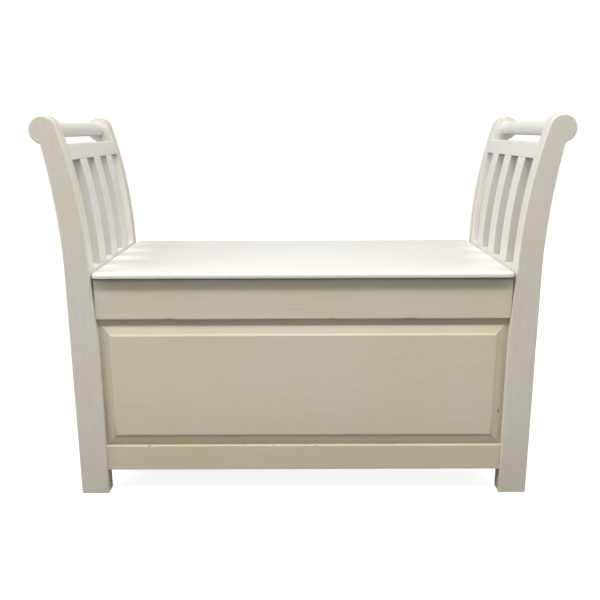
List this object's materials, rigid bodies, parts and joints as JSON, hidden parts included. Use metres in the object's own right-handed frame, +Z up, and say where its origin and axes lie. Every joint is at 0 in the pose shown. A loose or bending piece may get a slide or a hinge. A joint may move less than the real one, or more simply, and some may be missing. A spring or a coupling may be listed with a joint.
{
  "type": "storage bench",
  "caption": "Hall bench with a storage box under a hinged lid seat, raised front panel, slatted side arms that curve outwards, scroll heads and round rod handles.",
  "frame": {"origin": "on the floor, in the middle of the overall width and depth", "axes": "+X to the right arm, +Y to the back, +Z up"},
  "size_m": [0.9988, 0.408, 0.7535],
  "materials": {
    "cream_paint": "satin cream paint, brushed, lightly worn",
    "bare_plywood": "unpainted sheet",
    "bare_pine": "unpainted planed softwood",
    "hinge_metal": "satin plated",
    "screw_steel": "plated",
    "bumper_felt": "soft matt pad"
  },
  "bodies": {
    "base": {"back_lower_rail": "cream_paint", "back_panel": "cream_paint", "back_upper_rail": "cream_paint", "cleat_screws": "screw_steel", "floor_board": "bare_plywood", "frame_leaf_screws": "screw_steel", "front_apron": "cream_paint", "front_floor_cleat": "bare_pine", "front_left_post": "cream_paint", "front_lower_rail": "cream_paint", "front_panel": "cream_paint", "front_right_post": "cream_paint", "left_arm_top_rail": "cream_paint", "left_floor_cleat": "bare_pine", "left_handle": "cream_paint", "left_hinge_frame_leaf": "hinge_metal", "left_hinge_pin": "hinge_metal", "left_side_lower_rail": "cream_paint", "left_side_panel": "cream_paint", "left_side_upper_rail": "cream_paint", "left_slat_1": "cream_paint", "left_slat_2": "cream_paint", "left_slat_3": "cream_paint", "lid_bumpers": "bumper_felt", "rear_floor_cleat": "bare_pine", "rear_left_post": "cream_paint", "rear_right_post": "cream_paint", "right_arm_top_rail": "cream_paint", "right_floor_cleat": "bare_pine", "right_handle": "cream_paint", "right_hinge_frame_leaf": "hinge_metal", "right_hinge_pin": "hinge_metal", "right_side_lower_rail": "cream_paint", "right_side_panel": "cream_paint", "right_side_upper_rail": "cream_paint", "right_slat_1": "cream_paint", "right_slat_2": "cream_paint", "right_slat_3": "cream_paint"},
    "lid": {"lid_board": "cream_paint", "left_lid_batten": "cream_paint", "right_lid_batten": "cream_paint", "left_hinge_lid_leaf": "hinge_metal", "right_hinge_lid_leaf": "hinge_metal", "lid_leaf_screws": "screw_steel", "batten_screws": "screw_steel"}
  },
  "joints": [
    {"name": "lid_hinge", "type": "hinge", "parent": "base", "child": "lid", "pos_m": [0, 0.194, 0.45025], "axis": [-1, 0, 0], "range_deg": [0, 97]}
  ]
}
